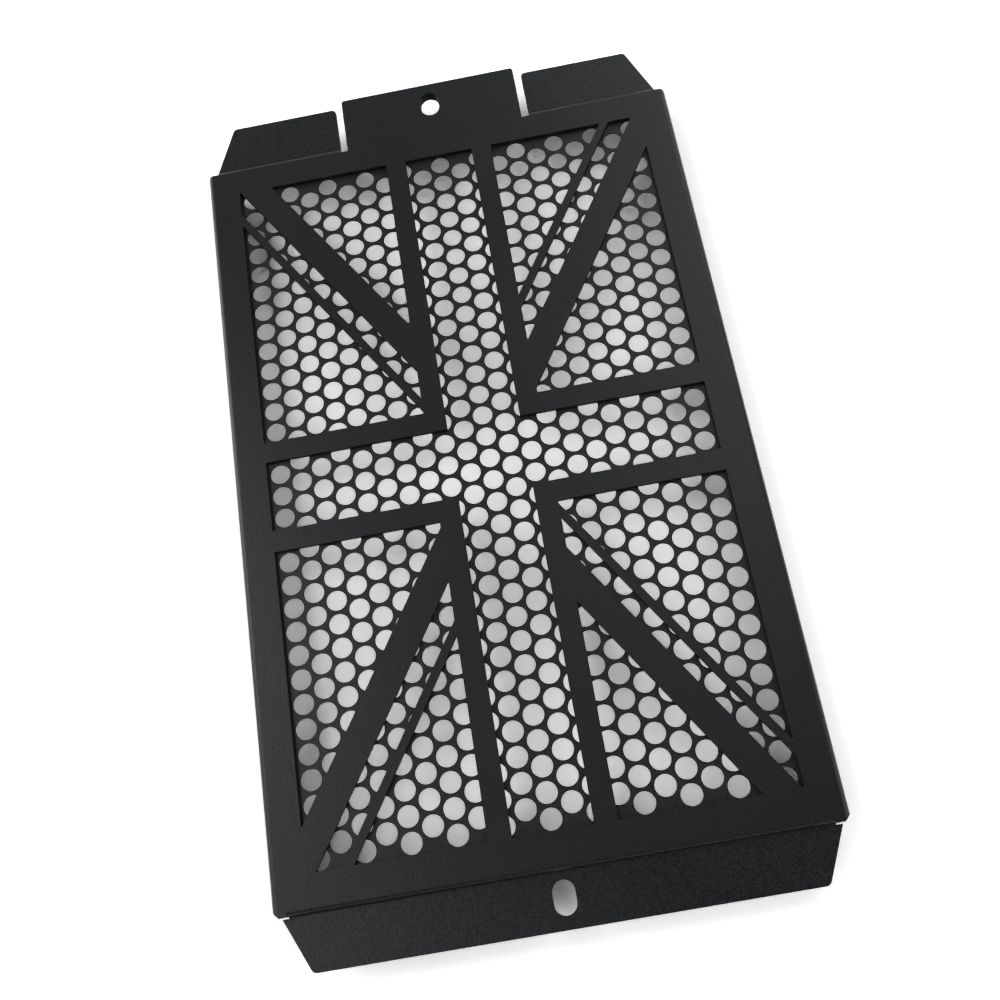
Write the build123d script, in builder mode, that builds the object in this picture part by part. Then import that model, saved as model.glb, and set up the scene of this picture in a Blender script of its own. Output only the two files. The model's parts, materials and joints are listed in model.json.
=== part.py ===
from build123d import *
import os
from math import pi, sqrt

# Motorcycle radiator guard: a folded sheet cover with flag-pattern windows, and the perforated sheet
# welded flat behind it. Millimetres, +Z up, +Y towards the top of the guard. It lies face up on the lower
# edges of its side flanges, at Z = 0, and the origin is midway between the two bolt slots.

# Cover sheet
sheet = 1.5                # thickness of the cover
bend_radius = 0.4          # inside radius of every fold
bend_straight = 0.2        # flat wall between the two folds of a joggle
tray_depth = 15.0          # front face to the lower edges of the side flanges
border = 11.5              # plain sheet between the windows and the outer walls

# Windows: an upright cross, and two diagonals that are cut off by the bars along the cross
field_width = 152.6        # all windows together
field_length = 247.2
arm_width = 25.2           # both arms of the cross
edge_bar = 7.4             # bar along each side of an arm
diagonal_angle = 57.4      # degrees between a diagonal and the X axis
wide_bar = 9.9             # broad bar of a diagonal
thin_bar = 2.75            # narrow bar of a diagonal
narrow_strip = 5.6         # slot between the bars, upper left and lower right
broad_strip = 7.25         # slot between the bars, upper right and lower left
strip_radius = 2.0         # blunt corner at the outer end of each strip

# Joggled flange at the bottom, joggled tabs and flat centre tab at the top
flange_reach = 16.9        # outer wall to free edge
flange_root = 170.6        # width at the fold
flange_end = 154.8         # width at the free edge
flange_radius = 2.0
side_tab_reach = 19.9
side_tab_root = 169.2      # over both tabs at the fold
side_tab_end = 153.2       # over both tabs at the free edge
side_tab_radius = 1.7
centre_tab_reach = 21.2
centre_tab_width = 67.0
centre_tab_radius = 1.2
tab_gap = 2.9              # relief slot between the centre tab and a side tab
fold_width = 166.4         # length of the top and bottom folds, short of the corners
corner_chamfer = 2.0       # lower corners of the tray
corner_setback = 1.4       # upper corners of the tray stop this far short of the top fold's wall
corner_radius = 1.8        # upper corners of the tray

# Bolt slots, long way along Y
slot_width = 7.0
slot_length = 10.2
slot_setback = 9.2         # slot centre to free edge, at both ends
collar_wall = 3.0          # spacer behind the upper slot

# Perforated sheet
mesh_thickness = 0.5
mesh_lap = 7.0             # beyond the windows on every side
hole_diameter = 6.8
hole_pitch = 8.0           # along a column
column_step = 7.2          # between columns, which are staggered by half a pitch

# Levels and places that follow from them
outer_bend = bend_radius + sheet
joggle = outer_bend + bend_straight + bend_radius
face_width = field_width + 2 * border
face_length = field_length + 2 * border
face_y = (flange_reach - centre_tab_reach) / 2
wall_bottom = face_y - face_length / 2
wall_top = face_y + face_length / 2
fold_bottom = wall_bottom + outer_bend
fold_top = wall_top - outer_bend
flange_top = tray_depth - joggle
seat_level = flange_top - sheet
mesh_top = tray_depth - sheet
flange_edge = wall_bottom - flange_reach
side_tab_edge = wall_top + side_tab_reach
centre_tab_edge = wall_top + centre_tab_reach
side_tab_inner = centre_tab_width / 2 + tab_gap
slot_places = [(0, centre_tab_edge - slot_setback), (0, flange_edge + slot_setback)]

# Quarter windows: a rectangle outside the cross, cut by one broad and one narrow diagonal bar
quarter_width = (field_width - arm_width) / 2 - edge_bar
quarter_length = (field_length - arm_width) / 2 - edge_bar
quarter_x = (field_width - quarter_width) / 2
quarter_y = (field_length - quarter_length) / 2
bar_run = field_width + field_length

with BuildSketch() as upper_left:
    with Locations((-quarter_x, quarter_y)):
        Rectangle(quarter_width, quarter_length)
    with Locations(Location((0, 0, 0), (0, 0, -diagonal_angle))):
        with Locations((0, (narrow_strip + wide_bar) / 2)):
            Rectangle(bar_run, wide_bar, mode=Mode.SUBTRACT)
        with Locations((0, -(narrow_strip + thin_bar) / 2)):
            Rectangle(bar_run, thin_bar, mode=Mode.SUBTRACT)
    strip = upper_left.faces().sort_by(Axis.X)[1]
    fillet(strip.vertices().group_by(Axis.X)[0].sort_by(Axis.Y)[0], strip_radius)

with BuildSketch() as upper_right:
    with Locations((quarter_x, quarter_y)):
        Rectangle(quarter_width, quarter_length)
    with Locations(Location((0, 0, 0), (0, 0, diagonal_angle))):
        Rectangle(bar_run, wide_bar, mode=Mode.SUBTRACT)
        with Locations((0, (wide_bar + thin_bar) / 2 + broad_strip)):
            Rectangle(bar_run, thin_bar, mode=Mode.SUBTRACT)
    strip = upper_right.faces().sort_by(Axis.X)[1]
    fillet(strip.vertices().group_by(Axis.Y)[-1].sort_by(Axis.X)[0], strip_radius)

with BuildSketch() as windows:
    Rectangle(arm_width, field_length)
    Rectangle(field_width, arm_width)
    with PolarLocations(0, 2):
        add(upper_left.sketch)
        add(upper_right.sketch)

# Section of a joggle: X runs outwards from the outer wall, Y is the height above the face
with BuildSketch() as joggle_section:
    with BuildLine():
        front = FilletPolyline(
            (-2 * outer_bend, 0),
            (0, 0),
            (0, -joggle),
            (outer_bend, -joggle),
            radius=[outer_bend, bend_radius],
        )
        back = FilletPolyline(
            (-2 * outer_bend, -sheet),
            (-sheet, -sheet),
            (-sheet, -joggle - sheet),
            (outer_bend, -joggle - sheet),
            radius=[bend_radius, outer_bend],
        )
        Line(front @ 0, back @ 0)
        Line(front @ 1, back @ 1)
    make_face()

with BuildPart() as cover:
    # Face and side flanges: one channel, then trimmed in plan to leave room for the folds
    with BuildSketch(Plane.XZ.offset(-face_y)):
        with BuildLine():
            FilletPolyline(
                (-face_width / 2, 0),
                (-face_width / 2, tray_depth),
                (face_width / 2, tray_depth),
                (face_width / 2, 0),
                radius=outer_bend,
            )
            offset(amount=sheet, side=Side.RIGHT)
        make_face()
    extrude(amount=face_length / 2, both=True)
    with BuildSketch() as plan:
        with Locations((0, wall_bottom)):
            Rectangle(face_width, face_length - corner_setback, align=(Align.CENTER, Align.MIN))
        chamfer(plan.vertices().group_by(Axis.Y)[0], corner_chamfer)
        fillet(plan.vertices().group_by(Axis.Y)[-1], corner_radius)
        with Locations((0, fold_bottom)):
            Rectangle(fold_width, outer_bend, align=(Align.CENTER, Align.MAX), mode=Mode.SUBTRACT)
        with Locations((0, fold_top)):
            Rectangle(fold_width, outer_bend, align=(Align.CENTER, Align.MIN), mode=Mode.SUBTRACT)
    extrude(amount=tray_depth, mode=Mode.INTERSECT)

    # Bottom flange: folded down and out again, so that it stays parallel to the face
    with BuildSketch(Plane((fold_width / 2, wall_bottom, tray_depth), x_dir=(0, -1, 0), z_dir=(-1, 0, 0))):
        add(joggle_section.sketch)
    extrude(amount=fold_width)
    with BuildSketch(Plane.XY.offset(seat_level)) as flange:
        with BuildLine():
            Polyline(
                (-flange_root / 2, wall_bottom - bend_radius),
                (flange_root / 2, wall_bottom - bend_radius),
                (flange_end / 2, flange_edge),
                (-flange_end / 2, flange_edge),
                close=True,
            )
        make_face()
        fillet(flange.vertices().group_by(Axis.Y)[0], flange_radius)
    extrude(amount=sheet)

    # Side tabs at the top: the same joggle on either side of the centre tab
    with BuildSketch(Plane((side_tab_inner, wall_top, tray_depth), x_dir=(0, 1, 0), z_dir=(1, 0, 0))):
        add(joggle_section.sketch)
    tab_fold = extrude(amount=fold_width / 2 - side_tab_inner)
    with BuildSketch(Plane.XY.offset(seat_level)) as side_tab:
        with BuildLine():
            Polyline(
                (side_tab_inner, wall_top + bend_radius),
                (side_tab_root / 2, wall_top + bend_radius),
                (side_tab_end / 2, side_tab_edge),
                (side_tab_inner, side_tab_edge),
                close=True,
            )
        make_face()
        fillet(side_tab.vertices().group_by(Axis.Y)[-1], side_tab_radius)
    tab_plate = extrude(amount=sheet)
    mirror(tab_fold, about=Plane.YZ)
    mirror(tab_plate, about=Plane.YZ)

    # Centre tab: level with the face
    with BuildSketch(Plane.XY.offset(mesh_top)) as centre_tab:
        with Locations((0, fold_top - outer_bend)):
            Rectangle(
                centre_tab_width,
                centre_tab_edge - fold_top + outer_bend,
                align=(Align.CENTER, Align.MIN),
            )
        fillet(centre_tab.vertices().group_by(Axis.Y)[-1], centre_tab_radius)
    extrude(amount=sheet)

    # Spacer behind the upper slot, down to the level of the bottom flange's back
    with BuildSketch(Plane.XY.offset(seat_level)):
        with Locations(slot_places[0]):
            SlotOverall(slot_length + 2 * collar_wall, slot_width + 2 * collar_wall, rotation=90)
    extrude(amount=joggle)

    # Bolt slots and windows
    with BuildSketch():
        with Locations(*slot_places):
            SlotOverall(slot_length, slot_width, rotation=90)
    extrude(amount=tray_depth, mode=Mode.SUBTRACT)
    with BuildSketch(Plane((0, face_y, tray_depth))):
        add(windows.sketch)
    extrude(amount=-sheet, mode=Mode.SUBTRACT)

# Staggered columns of holes over the whole field. A hole is cut where a window shows its centre
columns = int((field_width - hole_diameter) / (2 * column_step)) + 1
rows = int((field_length - hole_diameter) / hole_pitch) + 1
lattice = (
    GridLocations(2 * column_step, hole_pitch, columns, rows).locations
    + GridLocations(2 * column_step, hole_pitch, columns - 1, rows - 1).locations
)
window_faces = windows.faces()
shown = [place for place in lattice if any(face.is_inside(place.position) for face in window_faces)]

# Each hole is square, with the area of the round one
hole_side = hole_diameter * sqrt(pi) / 2

with BuildPart() as mesh_sheet:
    with BuildSketch(Plane((0, face_y, mesh_top))):
        Rectangle(field_width + 2 * mesh_lap, field_length + 2 * mesh_lap)
        with Locations(*shown):
            Rectangle(hole_side, hole_side, mode=Mode.SUBTRACT)
    extrude(amount=-mesh_thickness)

os.makedirs("parts", exist_ok=True)
cover.part.label = "cover"
export_step(cover.part, "parts/cover.step")
mesh_sheet.part.label = "mesh_sheet"
export_step(mesh_sheet.part, "parts/mesh_sheet.step")
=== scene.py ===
import json
import math

import bpy
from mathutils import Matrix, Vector

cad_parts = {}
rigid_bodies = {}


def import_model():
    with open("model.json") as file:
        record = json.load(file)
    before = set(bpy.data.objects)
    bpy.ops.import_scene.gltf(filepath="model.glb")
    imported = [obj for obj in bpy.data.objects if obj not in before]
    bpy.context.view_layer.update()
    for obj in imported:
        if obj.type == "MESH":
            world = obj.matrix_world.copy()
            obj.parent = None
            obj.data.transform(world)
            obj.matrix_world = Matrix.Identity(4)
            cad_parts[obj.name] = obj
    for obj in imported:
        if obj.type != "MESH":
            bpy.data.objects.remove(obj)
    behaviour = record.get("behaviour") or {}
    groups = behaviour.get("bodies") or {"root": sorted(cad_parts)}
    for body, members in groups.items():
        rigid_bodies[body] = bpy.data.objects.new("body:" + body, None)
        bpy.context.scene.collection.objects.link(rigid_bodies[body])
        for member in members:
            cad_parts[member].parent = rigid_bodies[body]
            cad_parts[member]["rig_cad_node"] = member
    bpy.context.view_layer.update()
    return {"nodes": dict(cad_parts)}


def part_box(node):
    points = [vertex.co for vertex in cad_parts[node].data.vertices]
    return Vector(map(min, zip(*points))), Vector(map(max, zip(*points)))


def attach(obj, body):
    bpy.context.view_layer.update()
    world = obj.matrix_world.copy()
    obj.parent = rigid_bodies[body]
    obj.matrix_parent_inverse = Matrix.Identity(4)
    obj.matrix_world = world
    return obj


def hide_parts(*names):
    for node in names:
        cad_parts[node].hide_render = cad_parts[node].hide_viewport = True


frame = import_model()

# Cover: one laser-cut steel sheet, folded along its edges and powder coated black afterwards.
# The coat rounds every cut edge a little, so the folded sheet is copied as a piece of its own and its
# edges are bevelled. The upright walls of the windows and slots get a darker and duller copy of the
# coat.
coat_round = 0.00022
coat_round_steps = 2
seam_gap = 0.00001
flat_angle = math.radians(1)
edge_angle = math.radians(40)


def pick(piece):
    bpy.ops.object.select_all(action="DESELECT")
    piece.select_set(True)
    bpy.context.view_layer.objects.active = piece


def apply_modifiers(piece):
    pick(piece)
    for modifier in list(piece.modifiers):
        bpy.ops.object.modifier_apply(modifier=modifier.name)


pick(frame["nodes"]["cover"])
bpy.ops.object.duplicate()
cover = bpy.context.object
cover.name = "cover_coated"
del cover["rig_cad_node"]
bpy.ops.object.mode_set(mode="EDIT")
bpy.ops.mesh.select_all(action="SELECT")
bpy.ops.mesh.customdata_custom_splitnormals_clear()
bpy.ops.mesh.remove_doubles(threshold=seam_gap)
bpy.ops.mesh.dissolve_limited(angle_limit=flat_angle)
bpy.ops.object.mode_set(mode="OBJECT")
rounding = cover.modifiers.new("coat_round", "BEVEL")
rounding.width = coat_round
rounding.segments = coat_round_steps
rounding.limit_method = "ANGLE"
rounding.angle_limit = edge_angle
rounding.loop_slide = False
rounding.face_strength_mode = "FSTR_ALL"
apply_modifiers(cover)
bpy.ops.object.shade_smooth()
flats = cover.modifiers.new("flat_faces", "WEIGHTED_NORMAL")
flats.use_face_influence = True
flats.keep_sharp = False
apply_modifiers(cover)


class Socket:
    """One value in a material's node tree. Arithmetic on it adds Math nodes."""

    def __init__(self, tree, output):
        self.tree = tree
        self.output = output

    def node(self, kind, settings=None, **inputs):
        """Adds a node. An input goes by its name, or by i and its number."""
        made = self.tree.nodes.new(kind)
        for name, value in (settings or {}).items():
            setattr(made, name, value)
        for name, value in inputs.items():
            numbered = name[0] == "i" and name[1:].isdigit()
            slot = made.inputs[int(name[1:]) if numbered else name]
            if isinstance(value, Socket):
                self.tree.links.new(value.output, slot)
            else:
                slot.default_value = value
        return made

    def math(self, operation, left, right):
        made = self.node("ShaderNodeMath", {"operation": operation}, i0=left, i1=right)
        return Socket(self.tree, made.outputs[0])

    def __add__(self, other):
        return self.math("ADD", self, other)

    def __sub__(self, other):
        return self.math("SUBTRACT", self, other)

    def __mul__(self, other):
        return self.math("MULTIPLY", self, other)

    __radd__ = __add__
    __rmul__ = __mul__


def powder_coat(name, black, gloss_loss, gleam):
    """Satin black powder coat: a fine cured skin with a faint orange peel and pepper."""
    red_share = 0.8
    blue_share = 1.2
    drift_contrast = 0.2
    pepper_contrast = 4.0
    drift_dulling = 0.08
    pepper_dulling = 0.16
    bump_strength = 0.45
    bump_depth = 0.0002
    half = 0.5
    material = bpy.data.materials.new(name)
    material.use_nodes = True
    tree = material.node_tree
    shader = tree.nodes["Principled BSDF"]
    shader.inputs["Specular IOR Level"].default_value = gleam
    place = Socket(tree, tree.nodes.new("ShaderNodeTexCoord").outputs["Object"])

    def noise(**inputs):
        return Socket(tree, place.node("ShaderNodeTexNoise", Vector=place, **inputs).outputs[0])

    peel = noise(Scale=900.0, Detail=2.0, Roughness=0.5)
    pepper = noise(Scale=2200.0, Detail=1.0, Roughness=0.6)
    drift = noise(Scale=22.0, Detail=3.0, Roughness=0.55)
    shade = black * (1.0 + drift_contrast * (drift - half) + pepper_contrast * (pepper - half))
    red = red_share * shade
    blue = blue_share * shade
    colour = place.node("ShaderNodeCombineColor", Red=red, Green=shade, Blue=blue)
    tree.links.new(colour.outputs[0], shader.inputs["Base Color"])
    rough = gloss_loss + drift_dulling * (drift - half) + pepper_dulling * (pepper - half)
    tree.links.new(rough.output, shader.inputs["Roughness"])
    height = half * (peel + pepper)
    bump = place.node("ShaderNodeBump", Strength=bump_strength, Distance=bump_depth, Height=height)
    tree.links.new(bump.outputs[0], shader.inputs["Normal"])
    return material


satin_black_coat = powder_coat("satin_black_coat", black=0.0088, gloss_loss=0.345, gleam=0.4)
# A darker and duller copy of the coat, for the upright walls of the windows, the slots and the mesh's
# holes.
cut_wall_coat = powder_coat("cut_wall_coat", black=0.008, gloss_loss=0.6, gleam=0.1)
window_low, window_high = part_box("mesh_sheet")
slot_middle = 0.14495
slot_half_length = 0.0053
slot_half_width = 0.0036
wall_lean = 0.3
cover.data.materials.clear()
cover.data.materials.append(satin_black_coat)
cover.data.materials.append(cut_wall_coat)
for face in cover.data.polygons:
    x, y, _ = face.center
    in_window = window_low[0] < x < window_high[0] and window_low[1] < y < window_high[1]
    in_slot = abs(x) < slot_half_width and abs(abs(y) - slot_middle) < slot_half_length
    if abs(face.normal.z) < wall_lean and (in_window or in_slot):
        face.material_index = 1
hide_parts("cover")
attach(cover, "root")

# Mesh sheet: thin perforated sheet, punched with round holes in staggered columns, coated with the cover
# and welded flat against its back. One punched cell is modelled and repeated over the whole sheet.
hole_radius = 0.0034
hole_sides = 24
hole_pitch = 0.008
column_step = 0.0072
columns = 21
rows = 31
sheet_low, sheet_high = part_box("mesh_sheet")
sheet_middle = (Vector(sheet_low) + Vector(sheet_high)) / 2
sheet_half = (Vector(sheet_high) - Vector(sheet_low)) / 2
half_step = column_step / 2
half_pitch = hole_pitch / 2
cuts_per_half_pitch = hole_sides // 8


def cell_edge(corner):
    """The place on the edge of the rectangular cell for a point of its round hole."""
    quarter_turns = math.atan2(corner.y, corner.x) / (math.pi / 2)
    side = round(quarter_turns)
    along = 2 * (quarter_turns - side)
    if side == 0:
        return Vector((half_step, half_pitch * along, 0))
    if side == 1:
        return Vector((-half_step * along, half_pitch, 0))
    if side == -1:
        return Vector((half_step * along, -half_pitch, 0))
    return Vector((-half_step, -half_pitch * along, 0))


def select_edges_at(piece, axis, value):
    """Selects the open edges that lie at one value of X or Y."""
    bpy.ops.object.mode_set(mode="OBJECT")
    for vertex in piece.data.vertices:
        vertex.select = False
    for face in piece.data.polygons:
        face.select = False
    for edge in piece.data.edges:
        ends = [piece.data.vertices[i].co[axis] for i in edge.vertices]
        edge.select = all(abs(end - value) < seam_gap for end in ends)
    bpy.ops.object.mode_set(mode="EDIT")


def extrude_edge(piece, axis, value, reach, times=1):
    """Pulls the edges at one value of X or Y outwards in equal steps."""
    select_edges_at(piece, axis, value)
    step = [0, 0, 0]
    step[axis] = reach / times
    for _ in range(times):
        bpy.ops.mesh.extrude_edges_move(TRANSFORM_OT_translate={"value": step})
    bpy.ops.object.mode_set(mode="OBJECT")


def repeat(piece, axis, count, step):
    """Copies a cell or a column in a row along X or Y and joins the copies."""
    array = piece.modifiers.new("repeat", "ARRAY")
    array.count = count
    array.use_relative_offset = False
    array.use_constant_offset = True
    offset = [0, 0, 0]
    offset[axis] = step
    array.constant_offset_displace = offset
    array.use_merge_vertices = True
    array.merge_threshold = seam_gap
    apply_modifiers(piece)


def punched_columns(name, column_count, row_count):
    """A block of punched cells, two column steps apart, centred on the origin."""
    bpy.ops.object.select_all(action="DESELECT")
    bpy.ops.mesh.primitive_circle_add(vertices=hole_sides, radius=hole_radius, fill_type="NOTHING")
    piece = bpy.context.object
    piece.name = name
    bpy.ops.object.mode_set(mode="EDIT")
    bpy.ops.mesh.select_all(action="SELECT")
    bpy.ops.mesh.extrude_edges_move()
    bpy.ops.object.mode_set(mode="OBJECT")
    for vertex in piece.data.vertices:
        if vertex.select:
            vertex.co = cell_edge(vertex.co)
    for vertex in piece.data.vertices:
        vertex.co.x -= column_step * (column_count - 1)
        vertex.co.y -= half_pitch * (row_count - 1)
    repeat(piece, 1, row_count, hole_pitch)
    short = (rows - row_count) * half_pitch
    if short > 0:
        end = half_pitch * row_count
        extrude_edge(piece, 1, end, short, cuts_per_half_pitch)
        extrude_edge(piece, 1, -end, -short, cuts_per_half_pitch)
    repeat(piece, 0, column_count, 2 * column_step)
    return piece


mesh_sheet = punched_columns("mesh_sheet_punched", (columns + 1) // 2, rows)
between = punched_columns("mesh_columns_between", columns // 2, rows - 1)
pick(mesh_sheet)
between.select_set(True)
bpy.ops.object.join()
bpy.ops.object.mode_set(mode="EDIT")
bpy.ops.mesh.select_all(action="SELECT")
bpy.ops.mesh.remove_doubles(threshold=seam_gap)
bpy.ops.object.mode_set(mode="OBJECT")

field_x = columns * half_step
field_y = rows * half_pitch
extrude_edge(mesh_sheet, 0, field_x, sheet_half.x - field_x)
extrude_edge(mesh_sheet, 0, -field_x, field_x - sheet_half.x)
extrude_edge(mesh_sheet, 1, field_y, sheet_half.y - field_y)
extrude_edge(mesh_sheet, 1, -field_y, field_y - sheet_half.y)
for vertex in mesh_sheet.data.vertices:
    vertex.co += sheet_middle
bpy.ops.object.mode_set(mode="EDIT")
bpy.ops.mesh.select_all(action="SELECT")
bpy.ops.mesh.normals_make_consistent(inside=False)
bpy.ops.object.mode_set(mode="OBJECT")
solid = mesh_sheet.modifiers.new("thickness", "SOLIDIFY")
solid.thickness = 2 * sheet_half.z
solid.offset = 0
apply_modifiers(mesh_sheet)
bpy.ops.object.shade_smooth_by_angle(angle=edge_angle)

mesh_black_coat = powder_coat("mesh_black_coat", black=0.0075, gloss_loss=0.4, gleam=0.4)
mesh_sheet.data.materials.clear()
mesh_sheet.data.materials.append(mesh_black_coat)
mesh_sheet.data.materials.append(cut_wall_coat)
for face in mesh_sheet.data.polygons:
    if abs(face.normal.z) < wall_lean:
        face.material_index = 1
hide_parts("mesh_sheet")
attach(mesh_sheet, "root")

# Floor: a smooth white sheet under the guard. What the camera and the reflections see of it is brighter,
# so that it reads as a white ground and still keeps the guard's shadow. It ends inside the lamps' light.
floor_size = 1.6
floor_white = 0.8
ground_white = 1.75


def seeing_rays(tree):
    """Two values: 1 on rays from the camera, and 1 on rays from a reflection or through glass."""
    rays = tree.nodes.new("ShaderNodeLightPath")
    camera = Socket(tree, rays.outputs["Is Camera Ray"])
    glossy = Socket(tree, rays.outputs["Is Glossy Ray"])
    through = Socket(tree, rays.outputs["Is Transmission Ray"])
    return camera, glossy + through


def mix_by(share, first, second, surface):
    """Sends the first shader to the surface, or the second one where share is 1."""
    mixed = share.node("ShaderNodeMixShader", i0=share)
    share.tree.links.new(first.outputs[0], mixed.inputs[1])
    share.tree.links.new(second.outputs[0], mixed.inputs[2])
    share.tree.links.new(mixed.outputs[0], surface.inputs["Surface"])


bpy.ops.object.select_all(action="DESELECT")
bpy.ops.mesh.primitive_plane_add(size=floor_size, location=(0, 0, 0))
floor = bpy.context.object
floor.name = "floor"
paper = bpy.data.materials.new("white_ground")
paper.use_nodes = True
tree = paper.node_tree
tree.nodes.remove(tree.nodes["Principled BSDF"])
plain = tree.nodes.new("ShaderNodeBsdfDiffuse")
plain.inputs["Color"].default_value = (floor_white, floor_white, floor_white, 1)
seen = tree.nodes.new("ShaderNodeBsdfDiffuse")
seen.inputs["Color"].default_value = (ground_white, ground_white, ground_white, 1)
from_camera, from_surface = seeing_rays(tree)
mix_by(from_camera + from_surface, plain, seen, tree.nodes["Material Output"])
floor.data.materials.append(paper)

# Studio light: soft boxes in a row along the left and the right, and a wide one at either end.
# The room is white to the camera, and low down to reflections. Overhead stays dark, so that the flat
# face is darkest in its middle and lighter towards its sides.
room_light = 0.02
white_below_sine = 0.05
dark_above_sine = 0.25
world = bpy.data.worlds.new("pale_room")
bpy.context.scene.world = world
world.use_nodes = True
tree = world.node_tree
room = tree.nodes["Background"]
room.inputs["Color"].default_value = (1, 1, 1, 1)
room.inputs["Strength"].default_value = room_light
backdrop = tree.nodes.new("ShaderNodeBackground")
backdrop.inputs["Color"].default_value = (1, 1, 1, 1)
backdrop.inputs["Strength"].default_value = 1.0
direction = Socket(tree, tree.nodes.new("ShaderNodeTexCoord").outputs["Generated"])
rise = Socket(tree, direction.node("ShaderNodeSeparateXYZ", Vector=direction).outputs["Z"])
fade = rise.node("ShaderNodeMapRange", i0=rise, i1=white_below_sine, i2=dark_above_sine, i3=1.0, i4=0.0)
low = Socket(tree, fade.outputs[0])
from_camera, from_surface = seeing_rays(tree)
mix_by(from_camera + from_surface * low, room, backdrop, tree.nodes["World Output"])


def soft_box(name, place, width, height, power):
    """A lamp behind a rectangular cloth, turned towards the guard."""
    lamp = bpy.data.lights.new(name, "AREA")
    lamp.shape = "RECTANGLE"
    lamp.size = width
    lamp.size_y = height
    lamp.energy = power
    box = bpy.data.objects.new(name, lamp)
    bpy.context.scene.collection.objects.link(box)
    box.location = place
    box.rotation_euler = (-Vector(place)).to_track_quat("-Z", "Y").to_euler()


soft_box("left_near_box", place=(-1.05, -0.3, 1.2), width=1.5, height=1.7, power=10.2)
soft_box("left_far_box", place=(-1.3, 0.7, 0.9), width=0.6, height=2.2, power=16.5)
soft_box("right_middle_box", place=(0.6, 0.85, 1.1), width=0.4, height=1.9, power=3.4)
soft_box("right_far_box", place=(1.0, 1.3, 1.0), width=1.4, height=1.9, power=6.9)
soft_box("right_near_box", place=(1.2, -0.6, 0.9), width=1.2, height=1.0, power=11.7)
soft_box("far_box", place=(-0.2, 1.5, 0.8), width=1.6, height=0.5, power=3.2)
soft_box("near_box", place=(0.0, -1.3, 1.0), width=2.4, height=1.2, power=1.5)

# Camera: over the lower end of the guard, looking down and a little towards its top.
# Its place, turn and lens were fitted to the staggered holes in the photograph.
camera_data = bpy.data.cameras.new("photo_camera")
camera_data.lens = 41.14
camera_data.sensor_width = 36.0
camera_data.clip_start = 0.01
camera = bpy.data.objects.new("photo_camera", camera_data)
bpy.context.scene.collection.objects.link(camera)
camera.location = (0.01442, -0.14824, 0.37256)
camera.rotation_euler = [math.radians(turn) for turn in (19.337, 5.407, -9.154)]
bpy.context.scene.camera = camera
bpy.context.scene.view_settings.view_transform = "Standard"
